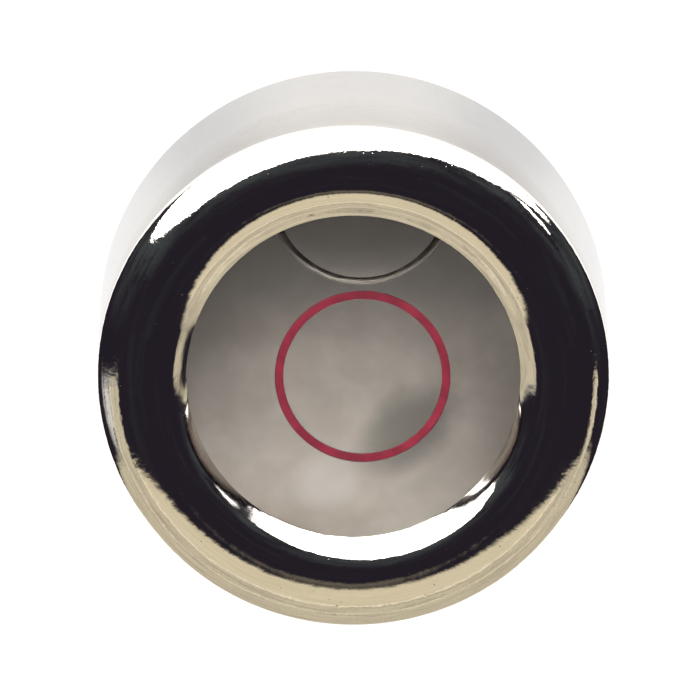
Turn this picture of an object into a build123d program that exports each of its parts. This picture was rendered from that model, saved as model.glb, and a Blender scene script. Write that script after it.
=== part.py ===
"""A small bullseye level: a plated brass case whose rim is rolled over a glass
window, with a filled circle in the glass, a sealed chamber of clear liquid that
holds one bubble, and a closing plate with its filling screw underneath.

Millimetres, +Z up. The level stands on the flat edge of its case, and the
origin is the centre of that edge's circle.
"""
from build123d import *
from math import asin, atan2, degrees, sqrt
import os

# Case: one turned ring, straight outside, with a rolled rim at its top
case_diameter = 20.0
case_height = 11.5
edge_break = 0.12

# Rim: highest at its crest, broad on its outer side and tight on its inner side,
# where it turns straight down and its lip's end presses on the glass
rim_opening_radius = 6.52
rim_inner_width = 1.33
rim_inner_height = 1.2
rim_outer_height = 1.6
glass_depth = 1.7

# Bores of the case, each named for the wall or the ledge that it leaves
wall_at_glass = 1.05
glass_ledge_width = 0.8
plate_shoulder_width = 0.65

# Glass window: flat outside, ground hollow to a large sphere inside
glass_thickness = 2.4
glass_hollow_radius = 200.0
glass_side_clearance = 0.05

# Circle: a groove in the glass, filled with enamel, cut a little off centre
circle_outer_radius = 3.43
circle_line_width = 0.34
circle_depth = 0.1
circle_shift_x = 0.36
circle_shift_y = -0.06

# Soft rings that seal the glass and the closing plate
glass_gasket_thickness = 0.5
plate_gasket_thickness = 0.3
gasket_side_clearance = 0.03

# Closing plate, pressed in from below; its top face is the chamber's floor
plate_thickness = 2.25
plate_recess = 0.15
plate_side_clearance = 0.02
plate_bevel = 0.15

# Filling screw and its washer, sunk into the closing plate near its edge
screw_inset = 1.8
screw_radius = 0.8
screw_thread_clearance = 0.03
screw_tip_recess = 0.1
screw_head_radius = 1.3
screw_head_height = 0.7
screw_head_side_clearance = 0.15
screw_head_recess = 0.1
screw_slot_width = 0.35
screw_slot_depth = 0.35
washer_thickness = 0.3
washer_bore_clearance = 0.04

# Liquid and its bubble, which lies against the chamber's wall under the glass
liquid_clearance = 0.02
bubble_radius = 3.38
bubble_thickness = 1.2
bubble_x = 0.3
bubble_y = 6.86

# Radii that follow
case_radius = case_diameter / 2
rim_crest_radius = rim_opening_radius + rim_inner_width
rim_outer_width = case_radius - rim_crest_radius
glass_bore_radius = case_radius - wall_at_glass
chamber_radius = glass_bore_radius - glass_ledge_width
plate_bore_radius = chamber_radius + plate_shoulder_width
glass_radius = glass_bore_radius - glass_side_clearance
plate_radius = plate_bore_radius - plate_side_clearance
circle_inner_radius = circle_outer_radius - circle_line_width
screw_y = chamber_radius - screw_inset
counterbore_radius = screw_head_radius + screw_head_side_clearance

# Heights that follow, from the top of the case down and from its foot up
rim_side_top = case_height - rim_outer_height
rim_throat_top = case_height - rim_inner_height
glass_top = case_height - glass_depth
glass_foot = glass_top - glass_thickness
glass_ledge = glass_foot - glass_gasket_thickness
plate_foot = plate_recess
chamber_floor = plate_foot + plate_thickness
plate_shoulder = chamber_floor + plate_gasket_thickness
counterbore_depth = screw_head_recess + screw_head_height + washer_thickness
counterbore_top = plate_foot + counterbore_depth
washer_foot = counterbore_top - washer_thickness
screw_head_foot = washer_foot - screw_head_height
screw_tip = chamber_floor - screw_tip_recess


def hollow_height(radius, reach):
    """How far a sphere of this radius rises above its edge circle, at its middle."""
    return radius - sqrt(radius ** 2 - reach ** 2)


def disc(radius, foot, height):
    """A round disc about the level's axis, standing on the height named foot."""
    return extrude(Plane.XY.offset(foot) * Circle(radius), amount=height)


def ring(outer_radius, inner_radius, foot, height):
    """A flat ring about the level's axis, standing on the height named foot."""
    return disc(outer_radius, foot, height) - disc(inner_radius, foot, height)


def shallow_dome(reach, foot, sphere_radius):
    """The space under a shallow dome: reach wide at its flat foot."""
    rise = hollow_height(sphere_radius, reach)
    sphere_centre = foot + rise - sphere_radius
    half_way = reach / 2
    arc_middle = sphere_centre + sqrt(sphere_radius ** 2 - half_way ** 2)
    with BuildSketch(Plane.XZ) as section:
        with BuildLine():
            ThreePointArc((0, foot + rise), (half_way, arc_middle), (reach, foot))
            Polyline((reach, foot), (0, foot), (0, foot + rise))
        make_face()
    return revolve(section.sketch, axis=Axis.Z)


def make_case():
    """The turned case. Its rim rises from the straight side over the crest and
    down to the throat, the smallest opening, and its lip ends flat on the glass."""
    outer_centre = (rim_crest_radius, rim_side_top)
    inner_centre = (rim_crest_radius, rim_throat_top)
    with BuildSketch(Plane.XZ) as section:
        with BuildLine():
            Polyline(
                (plate_bore_radius, 0),
                (case_radius - edge_break, 0),
                (case_radius, edge_break),
                (case_radius, rim_side_top),
            )
            EllipticalCenterArc(outer_centre, rim_outer_width, rim_outer_height, 0, arc_size=90)
            EllipticalCenterArc(inner_centre, rim_inner_width, rim_inner_height, 90, arc_size=90)
            Polyline(
                (rim_opening_radius, rim_throat_top),
                (rim_opening_radius, glass_top),
                (glass_bore_radius, glass_top),
                (glass_bore_radius, glass_ledge),
                (chamber_radius, glass_ledge),
                (chamber_radius, plate_shoulder),
                (plate_bore_radius, plate_shoulder),
                (plate_bore_radius, 0),
            )
        make_face()
    return revolve(section.sketch, axis=Axis.Z)


def make_target_circle():
    """The enamel that fills the groove, flush with the top of the glass."""
    line = ring(circle_outer_radius, circle_inner_radius, glass_top - circle_depth, circle_depth)
    return Pos(circle_shift_x, circle_shift_y, 0) * line


def make_glass():
    """The window: a disc, hollow below as far as the chamber reaches, so that the
    bubble runs to the highest point, and grooved above for the circle."""
    blank = disc(glass_radius, glass_foot, glass_thickness)
    hollow = shallow_dome(chamber_radius, glass_foot, glass_hollow_radius)
    return blank - hollow - make_target_circle()


def make_glass_gasket():
    """The soft ring between the case's ledge and the glass."""
    outer = glass_bore_radius - gasket_side_clearance
    return ring(outer, chamber_radius, glass_ledge, glass_gasket_thickness)


def make_plate_gasket():
    """The soft ring between the case's lower shoulder and the closing plate."""
    outer = plate_bore_radius - gasket_side_clearance
    return ring(outer, chamber_radius, chamber_floor, plate_gasket_thickness)


def make_closing_plate():
    """The plate under the chamber, with the filling hole and its counterbore."""
    blank = disc(plate_radius, plate_foot, plate_thickness)
    plate = chamfer(blank.edges().group_by(Axis.Z)[0], plate_bevel)
    counterbore = disc(counterbore_radius, plate_foot, counterbore_depth)
    filling_hole = disc(screw_radius + screw_thread_clearance, plate_foot, plate_thickness)
    return plate - Pos(0, screw_y, 0) * (counterbore + filling_hole)


def make_filling_screw():
    """A slotted screw, head down, whose tip stops just short of the chamber."""
    head = disc(screw_head_radius, screw_head_foot, screw_head_height)
    shank = disc(screw_radius, washer_foot, screw_tip - washer_foot)
    slot_outline = Plane.XY.offset(screw_head_foot) * Rectangle(2 * screw_head_radius, screw_slot_width)
    slot = extrude(slot_outline, amount=screw_slot_depth)
    return Pos(0, screw_y, 0) * (head + shank - slot)


def make_filling_washer():
    """The sealing washer, between the screw's head and its counterbore."""
    bore = screw_radius + washer_bore_clearance
    return Pos(0, screw_y, 0) * ring(screw_head_radius, bore, washer_foot, washer_thickness)


def bubble_space():
    """The bubble: a flat pocket of air whose lower edge is rounded, tilted to lie
    against the hollow of the glass. It is drawn tall enough to cut through it."""
    flat_radius = bubble_radius - bubble_thickness
    with BuildSketch(Plane.XZ) as section:
        with BuildLine():
            CenterArc((flat_radius, 0), bubble_thickness, -90, arc_size=90)
            Polyline(
                (flat_radius, -bubble_thickness),
                (0, -bubble_thickness),
                (0, bubble_thickness),
                (bubble_radius, bubble_thickness),
                (bubble_radius, 0),
            )
        make_face()
    bubble = revolve(section.sketch, axis=Axis.Z)
    sphere_middle = glass_foot + hollow_height(glass_hollow_radius, chamber_radius) - glass_hollow_radius
    turn = degrees(atan2(bubble_y, bubble_x))
    tilt = degrees(asin(sqrt(bubble_x ** 2 + bubble_y ** 2) / glass_hollow_radius))
    along_sphere = Pos(0, 0, sphere_middle) * Rot(0, 0, turn) * Rot(0, tilt, 0)
    return along_sphere * Pos(0, 0, glass_hollow_radius) * bubble


def make_liquid():
    """The filling: it takes the chamber's form up to the hollow glass, a hair clear
    of every wall, and leaves out the bubble. Its top is a very flat cone, as high
    as the hollow and nowhere above it."""
    reach = chamber_radius - liquid_clearance
    foot = chamber_floor + liquid_clearance
    brim = glass_foot - liquid_clearance
    rise = hollow_height(glass_hollow_radius, reach)
    flat_cone = Pos(0, 0, brim + rise / 2) * Cone(reach, 0, rise)
    return disc(reach, foot, brim - foot) + flat_cone - bubble_space()


pieces = {
    "case": make_case(),
    "glass": make_glass(),
    "target_circle": make_target_circle(),
    "glass_gasket": make_glass_gasket(),
    "liquid": make_liquid(),
    "plate_gasket": make_plate_gasket(),
    "closing_plate": make_closing_plate(),
    "filling_washer": make_filling_washer(),
    "filling_screw": make_filling_screw(),
}

os.makedirs("parts", exist_ok=True)
for name, solid in pieces.items():
    export_step(solid, f"parts/{name}.step")
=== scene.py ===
from math import asin, atan2, cos, pi, radians, sin, sqrt

import bmesh
import bpy
from mathutils import Matrix, Vector, noise


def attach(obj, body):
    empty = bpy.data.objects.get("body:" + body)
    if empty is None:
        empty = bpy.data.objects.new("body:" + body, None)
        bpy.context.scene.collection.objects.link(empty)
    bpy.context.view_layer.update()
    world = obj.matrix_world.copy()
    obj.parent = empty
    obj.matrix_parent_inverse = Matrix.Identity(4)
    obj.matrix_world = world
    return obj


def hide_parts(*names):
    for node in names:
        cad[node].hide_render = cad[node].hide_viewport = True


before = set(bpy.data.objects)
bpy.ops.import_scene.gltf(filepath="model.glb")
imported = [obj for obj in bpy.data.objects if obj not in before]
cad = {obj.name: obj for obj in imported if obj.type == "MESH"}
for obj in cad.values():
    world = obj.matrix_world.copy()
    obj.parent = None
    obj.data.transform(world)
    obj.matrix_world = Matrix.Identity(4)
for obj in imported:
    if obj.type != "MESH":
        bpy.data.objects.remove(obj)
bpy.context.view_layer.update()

# Case: one ring turned from brass, nickel plated and polished, its rim rolled over
# the glass, crest first and then the lip, which ends a little ragged. The plate's
# relief has pits, wiping marks, a soft waviness and the lip's slight flare.
MM = 0.001
case_radius = 10.0
case_height = 11.5
foot_break = 0.12
foot_bend_in, foot_bend_up = 0.03, 0.045
throat_radius = 6.52
inner_width = 1.33
inner_drop = 1.2
outer_drop = 1.6
glass_depth = 1.7
wall_at_glass = 1.05
ledge_width = 0.8
shoulder_width = 0.65
glass_ledge = 6.9
plate_shoulder = 2.7
crest_radius = throat_radius + inner_width
outer_width = case_radius - crest_radius
side_top = case_height - outer_drop
throat_top = case_height - inner_drop
glass_top = case_height - glass_depth
glass_bore = case_radius - wall_at_glass
chamber_radius = glass_bore - ledge_width
plate_bore = chamber_radius + shoulder_width
outer_steps, inner_steps = 36, 32
lip_row = 0.25
ragged_within = 7.0
ragged_from = throat_top + 0.4
ragged_fade = 0.7
coarse_waves, coarse_stray = 9, 0.03
fine_waves, fine_stray = 31, 0.02


class Wire:
    """One output of a shader node. Sums on it add the nodes that work them out."""

    def __init__(self, finish, socket):
        self.finish, self.socket = finish, socket

    def maths(self, operation, first, second):
        return self.finish.node("ShaderNodeMath", {"operation": operation}, {0: first, 1: second})

    def __add__(self, other):
        return self.maths("ADD", self, other)

    def __radd__(self, other):
        return self.maths("ADD", other, self)

    def __sub__(self, other):
        return self.maths("SUBTRACT", self, other)

    def __rsub__(self, other):
        return self.maths("SUBTRACT", other, self)

    def __mul__(self, other):
        return self.maths("MULTIPLY", self, other)

    def __rmul__(self, other):
        return self.maths("MULTIPLY", other, self)

    def __truediv__(self, other):
        return self.maths("DIVIDE", self, other)

    def __pow__(self, other):
        return self.maths("POWER", self, other)

    def __abs__(self):
        return self.maths("ABSOLUTE", self, 0.0)

    def at_least(self, low):
        return self.maths("MAXIMUM", self, low)

    def at_most(self, high):
        return self.maths("MINIMUM", self, high)

    def over(self, low, high, to_low=0.0, to_high=1.0):
        """Runs softly from to_low to to_high while this value runs from low to high."""
        return self.finish.node(
            "ShaderNodeMapRange",
            {"interpolation_type": "SMOOTHSTEP", "clamp": True},
            {"Value": self, "From Min": low, "From Max": high, "To Min": to_low, "To Max": to_high},
        )

    def blend(self, colour, other):
        """colour where this value is 0, other where it is 1."""
        return self.finish.node(
            "ShaderNodeMix", {"data_type": "RGBA"}, {"Factor": self, 6: colour, 7: other}, out=2
        )


class Finish:
    """A material or a studio sky, made node by node."""

    def __init__(self, owner):
        self.owner = owner
        owner.use_nodes = True
        self.tree = owner.node_tree
        self.tree.nodes.clear()

    def node(self, kind, settings=None, sockets=None, out=0):
        made = self.tree.nodes.new(kind)
        for name, value in (settings or {}).items():
            setattr(made, name, value)
        for key, value in (sockets or {}).items():
            if isinstance(value, Wire):
                self.tree.links.new(value.socket, made.inputs[key])
            elif isinstance(value, tuple) and made.inputs[key].type == "RGBA":
                made.inputs[key].default_value = (*value, 1.0)
            else:
                made.inputs[key].default_value = value
        return Wire(self, made.outputs[out]) if made.outputs else made

    def place(self):
        """Where a point lies on the level, in millimetres."""
        metres = self.node("ShaderNodeTexCoord", out="Object")
        return self.vector("MULTIPLY", metres, (1 / MM, 1 / MM, 1 / MM))

    def vector(self, operation, first, second):
        return self.node("ShaderNodeVectorMath", {"operation": operation}, {0: first, 1: second})

    def split(self, vector):
        return [self.node("ShaderNodeSeparateXYZ", sockets={0: vector}, out=axis) for axis in range(3)]

    def noise(self, place, scale, detail=2.0, rough=0.5):
        return self.node(
            "ShaderNodeTexNoise",
            {"noise_dimensions": "3D"},
            {"Vector": place, "Scale": scale, "Detail": detail, "Roughness": rough},
        )

    def bump(self, height, strength, distance):
        sockets = {"Height": height, "Strength": strength, "Distance": distance}
        return self.node("ShaderNodeBump", sockets=sockets)

    def surface(self, **sockets):
        """Ends the material in one principled surface; names use _ for a space."""
        named = {name.replace("_", " "): value for name, value in sockets.items()}
        shader = self.node("ShaderNodeBsdfPrincipled", sockets=named)
        self.node("ShaderNodeOutputMaterial", sockets={"Surface": shader})
        return self.owner


def quarter(middle, across, up, start, steps):
    """A quarter of an ellipse, from the angle start in degrees, its last point left off."""
    angles = [radians(start + 90 * step / steps) for step in range(steps)]
    return [(middle[0] + across * cos(a), middle[1] + up * sin(a)) for a in angles]


def turned(name, outline, around=256, crease=25, stray=None):
    """Spins an outline of radius and height pairs, in millimetres, about the axis.
    Where stray is given, it says how far each point lies off its true circle."""
    work = bmesh.new()
    rows = []
    for radius, height in outline:
        if radius == 0:
            rows.append([work.verts.new((0, 0, height * MM))] * around)
            continue
        row = []
        for step in range(around):
            turn = 2 * pi * step / around
            reach = (radius + stray(radius, height, turn)) * MM if stray else radius * MM
            row.append(work.verts.new((reach * cos(turn), reach * sin(turn), height * MM)))
        rows.append(row)
    follows = rows[1:] if outline[0][0] == 0 else rows[1:] + rows[:1]
    for row, following in zip(rows, follows):
        for step in range(around):
            corners = (row[step - 1], row[step], following[step], following[step - 1])
            work.faces.new(list(dict.fromkeys(corners)))
    bmesh.ops.recalc_face_normals(work, faces=work.faces)
    return finished(name, work, crease)


def finished(name, work, crease):
    """Turns the work into an object, smooth but for edges sharper than crease degrees."""
    mesh = bpy.data.meshes.new(name)
    work.to_mesh(mesh)
    work.free()
    for face in mesh.polygons:
        face.use_smooth = True
    mesh.set_sharp_from_angle(angle=radians(crease))
    made = bpy.data.objects.new(name, mesh)
    bpy.context.scene.collection.objects.link(made)
    return made


def ragged_lip(radius, height, turn):
    """How far the rolled lip strays from a true circle, more towards its end."""
    if radius > ragged_within or not glass_top < height < ragged_from:
        return 0
    share = min(1.0, (ragged_from - height) / ragged_fade)
    coarse = noise.noise(Vector((coarse_waves * cos(turn), coarse_waves * sin(turn), height)))
    fine = noise.noise(Vector((fine_waves * cos(turn), fine_waves * sin(turn), 2 * height)))
    return share * (coarse_stray * coarse + fine_stray * fine)


case_outline = [
    (plate_bore, 0),
    (case_radius - foot_break, 0),
    (case_radius - foot_bend_in, foot_bend_up),
    (case_radius, foot_break),
    *quarter((crest_radius, side_top), outer_width, outer_drop, 0, outer_steps),
    *quarter((crest_radius, throat_top), inner_width, inner_drop, 90, inner_steps),
    (throat_radius, throat_top),
    (throat_radius, glass_top + lip_row),
    (throat_radius, glass_top),
    (glass_bore, glass_top),
    (glass_bore, glass_ledge),
    (chamber_radius, glass_ledge),
    (chamber_radius, plate_shoulder),
    (plate_bore, plate_shoulder),
]
case_shell = turned("case_shell", case_outline, around=720, stray=ragged_lip)

plated = Finish(bpy.data.materials.new("bright_plate"))
place = plated.place()
east, north, up = plated.split(place)
around_case = plated.node("ShaderNodeMath", {"operation": "ARCTAN2"}, {0: east, 1: north})
from_axis = (east * east + north * north) ** 0.5
wipe_place = {0: around_case * 2.2, 1: from_axis * 6.0, 2: up * 6.0}
along_wipe = plated.node("ShaderNodeCombineXYZ", sockets=wipe_place)
wipes = plated.noise(along_wipe, 2.4, 4.0, 0.7)
waviness = plated.noise(place, 0.75, 2.0, 0.5)
orange_peel = plated.noise(place, 3.4, 2.0, 0.5)
grain = plated.noise(place, 10.0, 3.0, 0.6)
pit_cells = plated.node(
    "ShaderNodeTexVoronoi", {"feature": "F1"}, {"Vector": place, "Scale": 3.2, "Randomness": 1.0}
)
pit_patches = plated.noise(place, 0.7, 2.0, 0.5).over(0.5, 0.62)
pits = pit_cells.over(0.05, 0.13, 1.0, 0.0) * pit_patches
on_lip = from_axis.over(6.70, 7.02, 1.0, 0.0)
in_bore = from_axis.over(8.3, 8.5, 1.0, 0.0) * up.over(9.7, 9.8, 1.0, 0.0)
on_outside = from_axis.over(8.2, 9.2)
inside = from_axis.over(7.2, 7.3, 1.0, 0.0)
at_south = inside * north.over(-6.2, -2.0, 1.0, 0.0)
at_north = inside * north.over(-3.0, 0.5)
south_flare_top, north_flare_top = 11.09, 11.23
south_curl, south_slope, north_curl = 30.0, 48.0, 37.0
to_lip = (south_flare_top - up).at_least(0.0)
to_throat = to_lip.at_most(south_flare_top - throat_top)
to_north_lip = (north_flare_top - up).at_least(0.0)
flare = (to_throat * to_throat * south_curl + (to_lip - to_throat) * south_slope) * at_south
flare = flare + to_north_lip * to_north_lip * north_curl * at_north
peel_share = 0.14 + on_outside * 0.16
wipe_share = 0.011 + on_lip * 0.04
relief = flare + waviness * 0.9 + orange_peel * peel_share + grain * 0.05
relief = relief + wipes * wipe_share - pits * 0.1
bare_dull = (0.30, 0.27, 0.24)
plate_colour = wipes.over(0.35, 0.75).blend((0.64, 0.60, 0.55), (0.68, 0.64, 0.59))
plate_colour = in_bore.blend(plate_colour, bare_dull)
case_shell.data.materials.append(
    plated.surface(
        Base_Color=pits.blend(plate_colour, bare_dull),
        Metallic=1.0,
        Roughness=0.04 + wipes.over(0.45, 0.8) * 0.05 + pits * 0.25 + on_lip * 0.04 + in_bore * 0.4,
        Specular_Tint=(0.92, 0.92, 0.92),
        Normal=plated.bump(relief, 1.0, 0.02 * MM),
    )
)
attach(case_shell, "root")
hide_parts("case")

# Glass gasket: a flat ring of black rubber that lies on the case's ledge. Only
# its inner edge meets the liquid; the rolled rim presses the glass onto it.
rubber = Finish(bpy.data.materials.new("gasket_rubber"))
place = rubber.place()
bloom = rubber.noise(place, 1.6, 4.0, 0.6)
specks = rubber.noise(place, 14.0, 2.0, 0.5)
gasket_rubber = rubber.surface(
    Base_Color=bloom.over(0.4, 0.8).blend((0.022, 0.022, 0.023), (0.05, 0.048, 0.046)),
    Roughness=0.5 + specks * 0.25,
    Normal=rubber.bump(specks, 0.4, 0.02 * MM),
)
for slot in cad["glass_gasket"].material_slots:
    slot.material = gasket_rubber

# Glass: a thick disc, polished flat above and ground to a very shallow hollow
# below. A narrow groove, a little off the middle, is cut in its top for the circle.
glass_radius = 8.9
glass_thickness = 2.4
glass_bevel = 0.06
hollow_sphere = 200.0
groove_depth = 0.1
groove_overshoot = 0.2
circle_middle = (0.36, -0.06)
circle_outer = 3.43
circle_line = 0.34
circle_inner = circle_outer - circle_line
glass_foot = glass_top - glass_thickness
hollow_rise = hollow_sphere - sqrt(hollow_sphere**2 - chamber_radius**2)


def hollow(radius, over=0.0):
    """The height of the hollow's face at this radius, or a little over it."""
    return glass_foot + hollow_rise - hollow_sphere + sqrt(hollow_sphere**2 - radius**2) + over


def cut(piece, tool):
    """Takes the tool's form out of the piece and throws the tool away."""
    carve = piece.modifiers.new("carve", "BOOLEAN")
    carve.operation, carve.solver, carve.object = "DIFFERENCE", "EXACT", tool
    bpy.context.view_layer.update()
    carved = bpy.data.meshes.new_from_object(piece.evaluated_get(bpy.context.evaluated_depsgraph_get()))
    piece.modifiers.clear()
    piece.data = carved
    bpy.data.objects.remove(tool)


hollow_steps = 12
hollow_radii = [chamber_radius * (1 - i / hollow_steps) for i in range(hollow_steps)]
glass_outline = [
    (0, glass_top),
    (glass_radius - glass_bevel, glass_top),
    (glass_radius, glass_top - glass_bevel),
    (glass_radius, glass_foot + glass_bevel),
    (glass_radius - glass_bevel, glass_foot),
    *[(radius, hollow(radius)) for radius in hollow_radii],
    (0, hollow(0)),
]
window = turned("window", glass_outline, crease=20)
groove_outline = [
    (circle_inner, glass_top - groove_depth),
    (circle_outer, glass_top - groove_depth),
    (circle_outer, glass_top + groove_overshoot),
    (circle_inner, glass_top + groove_overshoot),
]
groove = turned("groove", groove_outline)
off_middle = Matrix.Translation((circle_middle[0] * MM, circle_middle[1] * MM, 0))
groove.data.transform(off_middle)
cut(window, groove)
window.data.set_sharp_from_angle(angle=radians(20))

clear = Finish(bpy.data.materials.new("polished_glass"))
place = clear.place()
smears = clear.noise(clear.vector("MULTIPLY", place, (0.6, 1.4, 1.0)), 1.1, 4.0, 0.6)
window.data.materials.clear()
window.data.materials.append(
    clear.surface(
        Base_Color=smears.over(0.3, 0.7).blend((0.97, 0.98, 0.975), (0.985, 0.99, 0.985)),
        Roughness=0.0,
        IOR=1.5,
        Transmission_Weight=1.0,
        Normal=clear.bump(smears, 0.15, 0.002 * MM),
    )
)
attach(window, "root")
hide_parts("glass")

# Target circle: crimson enamel wiped into the groove and baked, so that its top
# is level with the glass and its edges waver a little.
enamel_gap = 0.004
enamel_shoulder = 0.035
edge_in, edge_down = 0.012, 0.004
flat_in = 0.05
waver = 0.035
waver_waves, waver_apart = 17, 5.0
wavers_above = glass_top - 0.03


def wavering(radius, height, turn):
    """How far the enamel's top edges draw back from the groove's sides."""
    if height <= wavers_above:
        return 0
    side = 1 if radius > (circle_inner + circle_outer) / 2 else -1
    wave = noise.noise(Vector((waver_waves * cos(turn), waver_waves * sin(turn), side * waver_apart)))
    return -side * abs(wave) * waver


enamel_outline = [
    (circle_inner + enamel_gap, glass_top - groove_depth + enamel_gap),
    (circle_outer - enamel_gap, glass_top - groove_depth + enamel_gap),
    (circle_outer - enamel_gap, glass_top - enamel_shoulder),
    (circle_outer - edge_in, glass_top - edge_down),
    (circle_outer - flat_in, glass_top),
    (circle_inner + flat_in, glass_top),
    (circle_inner + edge_in, glass_top - edge_down),
    (circle_inner + enamel_gap, glass_top - enamel_shoulder),
]
enamel_ring = turned("enamel_ring", enamel_outline, around=360, crease=50, stray=wavering)
enamel_ring.data.transform(off_middle)

enamel = Finish(bpy.data.materials.new("crimson_enamel"))
place = enamel.place()
cloud = enamel.noise(place, 1.3, 3.0, 0.6)
pinholes = enamel.noise(place, 22.0, 2.0, 0.5)
enamel_ring.data.materials.append(
    enamel.surface(
        Base_Color=cloud.over(0.3, 0.7).blend((0.115, 0.006, 0.017), (0.185, 0.010, 0.026)),
        Roughness=0.28 + pinholes * 0.2,
        Normal=enamel.bump(pinholes, 0.3, 0.006 * MM),
    )
)
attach(enamel_ring, "root")
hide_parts("target_circle")

# Plate gasket: the same rubber, cut as a thinner ring, between the case's lower
# shoulder and the closing plate.
for slot in cad["plate_gasket"].material_slots:
    slot.material = gasket_rubber

# Closing plate: a brass disc, satin nickel plated, pressed in from below. Its top
# is the floor that shows through the window, softly stained by the liquid. Painted
# shade darkens it towards the north and in a dark smudge, and a painted pool of
# light brightens it towards the south.
satin = Finish(bpy.data.materials.new("satin_plate"))
place = satin.place()
east, north = satin.split(place)[:2]
broad = satin.noise(place, 0.28, 3.0, 0.5)
cloudy = satin.noise(place, 0.75, 4.0, 0.6)
frosting = satin.noise(place, 18.0, 3.0, 0.6)
stain = cloudy.over(0.35, 0.7) * 0.6 + broad.over(0.35, 0.65) * 0.4
satin_colour = stain.blend((0.60, 0.53, 0.475), (0.74, 0.665, 0.61))
across = east * 0.74 + north * 0.67 + cloudy * 1.6 - 0.8
aslant = north * 0.74 - east * 0.67 + broad * 1.6 - 0.8
# Painted shade: a soft dark smudge across the floor.
painted_shade_smudge = ((across + 0.7) * 0.36) ** 2.0 + ((aslant + 3.9) * 0.62) ** 2.0
satin_colour = painted_shade_smudge.over(0.1, 1.1, 0.85, 0.0).blend(satin_colour, (0.30, 0.28, 0.25))
# Painted shade: the floor darkens towards the north, where the rim shades it.
satin_colour = north.over(0.6, 2.6, 0.0, 0.5).blend(satin_colour, (0.40, 0.38, 0.37))
# Painted light: a soft pale patch towards the south, where light through the window pools.
painted_light_pool = ((east + 1.1) * 0.7) ** 2.0 + ((north + 5.6) * 0.9) ** 2.0
satin_colour = painted_light_pool.over(0.1, 1.4, 0.5, 0.0).blend(satin_colour, (0.84, 0.80, 0.79))
satin_plate = satin.surface(
    Base_Color=satin_colour,
    Metallic=0.12,
    Roughness=0.5 + frosting * 0.12,
    Normal=satin.bump(frosting + cloudy * 3.0, 0.5, 0.01 * MM),
)
for slot in cad["closing_plate"].material_slots:
    slot.material = satin_plate

# Liquid: clear spirit that wets the glass, the wall and the floor. The bubble is
# the empty place in it: a flat pocket with a rounded edge, against the wall.
wetting = 0.004
floor_height = 2.4
bubble_radius = 3.72
bubble_upper_round = 1.2
bubble_lower_round = 1.3
bubble_contact = 41
bubble_overshoot = 0.3
bubble_upper_steps, bubble_lower_steps = 16, 20
bubble_belly = ((1.6, 0.02), (0.8, 0.03), (0, 0.033))
bubble_at = (0.3, 6.86)
liquid_radius = chamber_radius + wetting
top_radii = [liquid_radius * i / hollow_steps for i in range(1, hollow_steps + 1)]
liquid_outline = [
    (0, hollow(0, wetting)),
    *[(radius, hollow(radius, wetting)) for radius in top_radii],
    (liquid_radius, floor_height - wetting),
    (0, floor_height - wetting),
]
filling = turned("filling", liquid_outline, crease=20)
top_lean = radians(90 - bubble_contact)
top_middle = bubble_radius - bubble_upper_round
lower_middle = bubble_radius - bubble_lower_round
top_rise = bubble_upper_round * sin(top_lean)
through_glass = bubble_overshoot + top_rise
bubble_outline = [(0, through_glass), (top_middle + bubble_upper_round * cos(top_lean), through_glass)]
for step in range(bubble_upper_steps + 1):
    lean = top_lean * (1 - step / bubble_upper_steps)
    bubble_outline.append((top_middle + bubble_upper_round * cos(lean), bubble_upper_round * sin(lean)))
for step in range(1, bubble_lower_steps + 1):
    lean = radians(90) * step / bubble_lower_steps
    bubble_outline.append((lower_middle + bubble_lower_round * cos(lean), -bubble_lower_round * sin(lean)))
for radius, sag in bubble_belly:
    bubble_outline.append((radius, -bubble_lower_round - sag))
bubble = turned("bubble", bubble_outline, crease=30)
bubble_reach = sqrt(bubble_at[0] ** 2 + bubble_at[1] ** 2)
lean_out = Matrix.Rotation(asin(bubble_reach / hollow_sphere), 4, "Y")
to_bubble = Matrix.Rotation(atan2(bubble_at[1], bubble_at[0]), 4, "Z")
bubble_seat = (hollow(bubble_reach) - top_rise) * MM
to_seat = Matrix.Translation((bubble_at[0] * MM, bubble_at[1] * MM, bubble_seat))
bubble.data.transform(to_seat @ to_bubble @ lean_out)
cut(filling, bubble)
filling.data.set_sharp_from_angle(angle=radians(20))

spirit = Finish(bpy.data.materials.new("clear_spirit"))
place = spirit.place()
haze = spirit.noise(place, 0.5, 2.0, 0.5)
filling.data.materials.clear()
filling.data.materials.append(
    spirit.surface(
        Base_Color=haze.over(0.3, 0.7).blend((0.975, 0.975, 0.96), (0.985, 0.985, 0.975)),
        Roughness=0.0,
        IOR=1.36,
        Transmission_Weight=1.0,
    )
)
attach(filling, "root")
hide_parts("liquid")

# Washer: a flat ring of red-brown pressed fibre. It lies under the screw's head,
# in the counterbore of the closing plate, and seals the filling hole.
fibre = Finish(bpy.data.materials.new("pressed_fibre"))
place = fibre.place()
strands = fibre.noise(fibre.vector("MULTIPLY", place, (2.0, 9.0, 2.0)), 2.2, 5.0, 0.7)
fibre_washer = fibre.surface(
    Base_Color=strands.over(0.3, 0.7).blend((0.19, 0.035, 0.02), (0.33, 0.075, 0.04)),
    Roughness=0.7 + strands * 0.2,
    Normal=fibre.bump(strands, 0.6, 0.03 * MM),
)
for slot in cad["filling_washer"].material_slots:
    slot.material = fibre_washer

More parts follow.
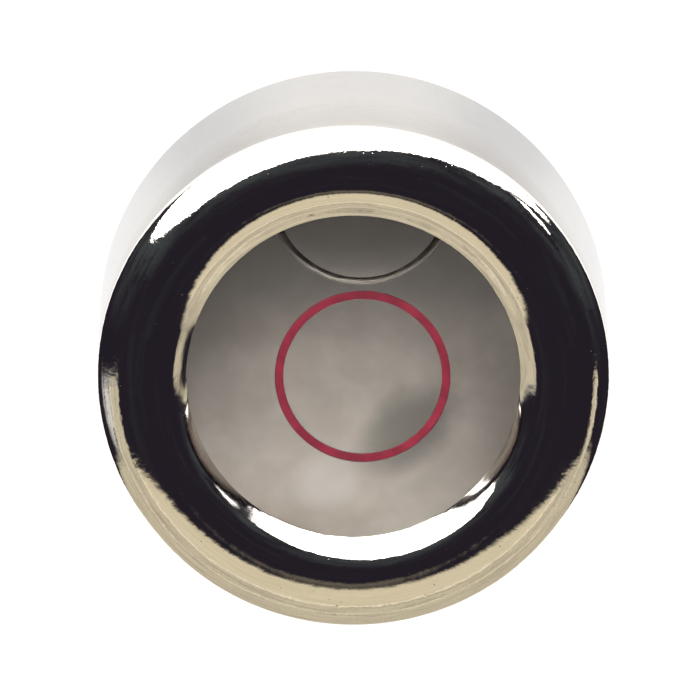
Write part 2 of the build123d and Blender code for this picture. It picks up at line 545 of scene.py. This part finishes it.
# Filling screw: slotted brass, turned and left bare, so its head has gone dull
# with fine turning lines round it.
brass = Finish(bpy.data.materials.new("bare_brass"))
place = brass.place()
screw_inset = 1.8
screw_y = chamber_radius - screw_inset
from_screw = brass.vector("SUBTRACT", place, (0.0, screw_y, 0.0))
east, north = brass.split(from_screw)[:2]
ring_radius = (east * east + north * north) ** 0.5
dulling = brass.noise(place, 2.4, 4.0, 0.6)
turning = brass.noise(brass.node("ShaderNodeCombineXYZ", sockets={0: ring_radius * 14.0}), 2.0, 3.0, 0.6)
bare_brass = brass.surface(
    Base_Color=dulling.over(0.35, 0.7).blend((0.70, 0.52, 0.25), (0.46, 0.31, 0.14)),
    Metallic=1.0,
    Roughness=0.26 + dulling.over(0.35, 0.7) * 0.22,
    Normal=brass.bump(turning, 0.5, 0.01 * MM),
)
for slot in cad["filling_screw"].material_slots:
    slot.material = bare_brass

# Table: a plain card that glows softly, as a light table does, and plain white to
# the camera. It ends close to the level but for the side that the photograph looks
# from. The card itself is nearly black, so all its paleness is glow. Near the foot
# the glow is dimmer, and dimmer still diagonally beside it: painted shade where the
# level shades the table. Farther off the glow is stronger.
card_west, card_east, card_south, card_north = -15.5 * MM, 16 * MM, -16 * MM, 300 * MM
card = bpy.data.meshes.new("table")
southern = [(card_west, card_south, 0), (card_east, card_south, 0)]
northern = [(card_east, card_north, 0), (card_west, card_north, 0)]
card.from_pydata(southern + northern, [], [(0, 1, 2, 3)])
table = bpy.data.objects.new("table", card)
bpy.context.scene.collection.objects.link(table)
paper = Finish(bpy.data.materials.new("pale_card"))
place = paper.place()
east, north = paper.split(place)[:2]
from_axis = (east * east + north * north) ** 0.5
tooth = paper.noise(place, 0.4, 4.0, 0.6)
sideways = abs(east) / from_axis
# Painted shade: the glow dims diagonally beside the foot.
painted_side_shade = sideways.over(0.2, 0.62) * sideways.over(0.68, 0.92, 1.0, 0.0) * north.over(0.0, 2.0)
painted_shade_beside_foot = painted_side_shade.blend((0.96, 0.955, 0.95), (0.77, 0.77, 0.78))
# Painted shade: within about 12 mm of the axis the glow is dimmer than farther off.
glow_with_painted_shade = from_axis.over(12.0, 14.0).blend(painted_shade_beside_foot, (1.7, 1.69, 1.68))
seen_directly = paper.node("ShaderNodeLightPath", out="Is Camera Ray")
card.materials.append(
    paper.surface(
        Base_Color=tooth.over(0.3, 0.7).blend((0.015, 0.015, 0.0147), (0.02, 0.02, 0.0196)),
        Roughness=0.9,
        Emission_Color=seen_directly.blend(glow_with_painted_shade, (1.0, 1.0, 1.0)),
        Emission_Strength=1.0,
    )
)

# Studio: one broad white light beyond the top of the picture, a warm reflector
# beyond its foot, and a dark room between them, where the camera stands. Light
# that has met a matt surface, such as the chamber's floor, gets a soft box instead.
studio = Finish(bpy.data.worlds.new("studio"))
bpy.context.scene.world = studio.owner
toward = studio.node("ShaderNodeTexCoord", out="Generated")
east, north, up = studio.split(toward)
light_curve = 0.815 + east * (0.293 + east * (-0.385 - 0.336 * east))
light_below = up.over(-0.8, 0.0, 0.36, 0.0) * east.over(-0.7, 0.0)
light_east = east.over(0.72, 0.88) * up.over(-0.12, 0.0) * up.over(0.02, 0.3, 0.07, 0.0)
light_edge = light_curve - light_below - east.over(-0.7, -0.4, 0.05, 0.0) - light_east
warm_sides = (east * east - east * 0.08).over(0.6, 0.86, 0.0, 0.3) * up.over(0.0, 0.12)
warm_edge = 0.49 + east.over(0.0, 0.5, 0.0, 0.08) - east.over(0.6, 1.0, 0.0, 0.08)
warm_edge = warm_edge + east.over(-0.95, -0.3, 0.04, 0.0) - up.over(0.88, 0.97, 0.0, 0.16) - warm_sides
clouds = studio.noise(toward, 3.2, 4.0, 0.65)
near_light = (north - light_edge).over(-0.5, -0.02)
dim = near_light * clouds.over(0.34, 0.6) + clouds.over(0.5, 0.75) * 0.25
dark_room = dim.blend((0.024, 0.020, 0.031), (0.068, 0.080, 0.088))
pale_side = (-1 * east).over(0.82, 0.92) * (-1 * north).over(0.16, 0.30) * clouds.over(0.36, 0.5)
dark_room = pale_side.blend(dark_room, (0.95, 0.95, 0.93))
blotches = studio.noise(studio.vector("MULTIPLY", toward, (1.6, 1.6, 5.0)), 3.4, 5.0, 0.65)
cream = blotches.over(0.36, 0.66).blend((0.90, 0.82, 0.60), (1.00, 0.91, 0.67))
beige = blotches.over(0.36, 0.60).blend((0.62, 0.56, 0.44), (0.86, 0.79, 0.60))
warm = up.over(0.42, 0.50).blend(beige, cream)
upper_glint = up.over(0.455, 0.485) * up.over(0.485, 0.515, 1.0, 0.0)
lower_glint = up.over(0.10, 0.13) * up.over(0.13, 0.16, 0.8, 0.0)
warm = (upper_glint + lower_glint).blend(warm, (1.3, 1.2, 0.94))
seen = (-1 * north - warm_edge).over(-0.05, 0.03).blend(dark_room, warm)
seen = (north - light_edge).over(-0.012, 0.012).blend(seen, (9.0, 8.95, 8.9))
to_lamp, to_box = (0.18, 0.86, 0.48), (-0.12, 0.71, 0.66)
lamp = studio.node("ShaderNodeVectorMath", {"operation": "DOT_PRODUCT"}, {0: toward, 1: to_lamp}, out=1)
soft_box = studio.node("ShaderNodeVectorMath", {"operation": "DOT_PRODUCT"}, {0: toward, 1: to_box}, out=1)
glow = lamp.over(0.93, 0.985) * 21.0 + soft_box.over(0.2, 0.9) * 1.95 + 0.3
evened = studio.node("ShaderNodeVectorMath", {"operation": "SCALE"}, {0: (1.0, 0.99, 0.98), "Scale": glow})
from_matt = studio.node("ShaderNodeLightPath", out="Diffuse Depth")
seen = from_matt.blend(seen, evened)
camera_ray = studio.node("ShaderNodeLightPath", out="Is Camera Ray")
sky = studio.node("ShaderNodeBackground", sockets={"Color": camera_ray.blend(seen, (1.0, 1.0, 1.0))})
studio.node("ShaderNodeOutputWorld", sockets={"Surface": sky})
bpy.context.scene.view_settings.view_transform = "Standard"

# Camera: far off with a long lens, tipped 13.4 degrees from the level's axis
# towards the bubble, as the photograph was taken.
tip = radians(13.375)
roll = radians(-0.046)
away = 68.65 * case_radius
picture_px = 700
case_radius_px = 257.08
off_centre_px = (3.48, -35.16)
sensor_width = 36.0
view = Vector((sin(roll) * cos(tip), sin(tip), cos(tip) * cos(roll))).normalized()
right = Vector((0, 1, 0)).cross(view).normalized()
upward = view.cross(right).normalized()
shot = bpy.data.cameras.new("shot")
shot.sensor_width = sensor_width
shot.lens = sensor_width * case_radius_px * away / case_radius / picture_px
shot.clip_start = 0.02
shot.clip_end = 20.0
camera = bpy.data.objects.new("camera", shot)
bpy.context.scene.collection.objects.link(camera)
off_aim = (right * off_centre_px[0] + upward * off_centre_px[1]) * case_radius / case_radius_px
stand = Vector((0, 0, case_height)) - off_aim + view * away
turned_to_level = Matrix((right, upward, view)).transposed().to_4x4()
camera.matrix_world = Matrix.Translation(stand * MM) @ turned_to_level
bpy.context.scene.camera = camera

bpy.context.scene.cycles.blur_glossy = 0.0
bpy.context.scene.cycles.sample_clamp_indirect = 0.0
